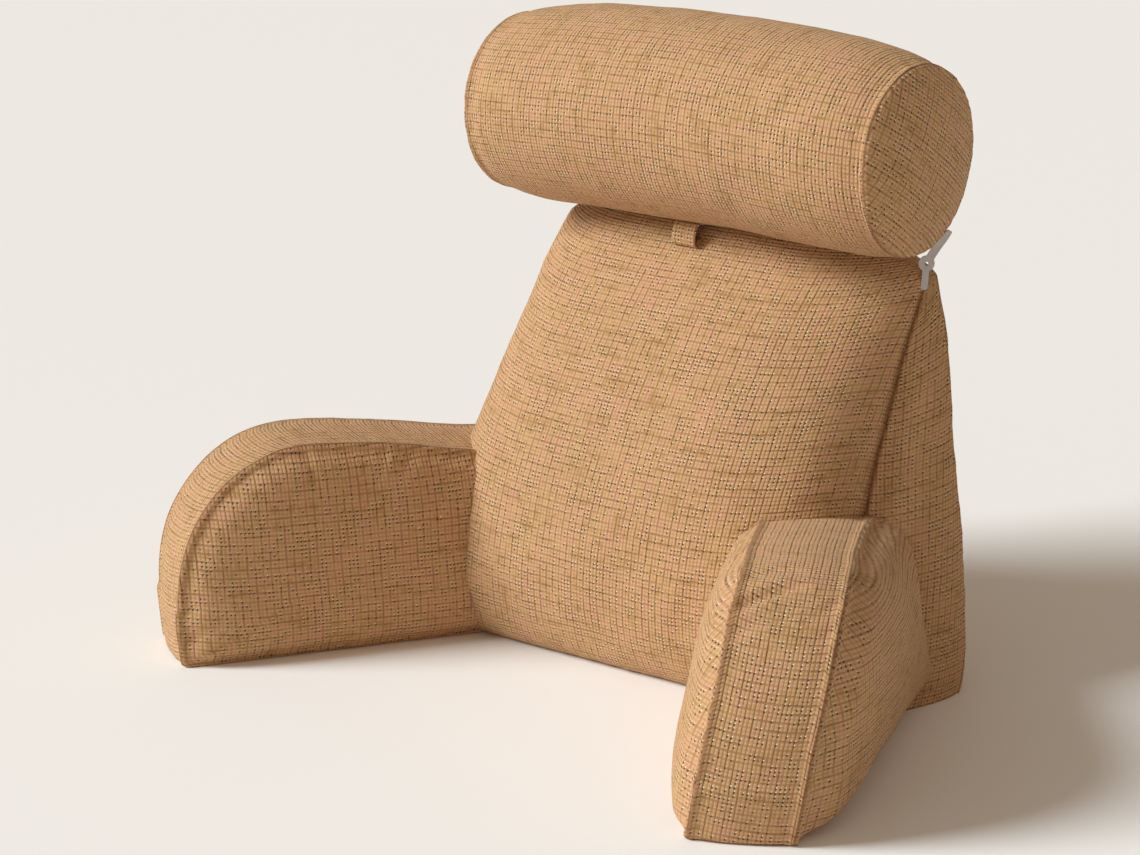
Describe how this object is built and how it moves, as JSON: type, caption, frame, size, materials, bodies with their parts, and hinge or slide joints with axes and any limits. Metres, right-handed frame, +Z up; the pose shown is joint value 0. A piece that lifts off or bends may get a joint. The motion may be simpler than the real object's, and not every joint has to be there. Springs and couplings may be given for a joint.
{
  "type": "backrest pillow",
  "caption": "Stuffed backrest pillow with two splayed arms and a bolster neck roll, in a tan and brown woven check.",
  "frame": {"origin": "on the flat underside of the backrest, under its middle", "axes": "+X to the viewer's right along the roll, -Y the way the front panel and the arms face, +Z up"},
  "size_m": [0.7448, 0.4987, 0.5695],
  "materials": {
    "check_cloth": "matte woven check",
    "pale_tape": "smooth pale tape"
  },
  "bodies": {
    "root": {"backrest": "check_cloth", "arm_left": "check_cloth", "arm_right": "check_cloth", "neck_roll": "check_cloth", "roll_tab": "check_cloth", "tie_tape": "pale_tape"}
  },
  "joints": []
}
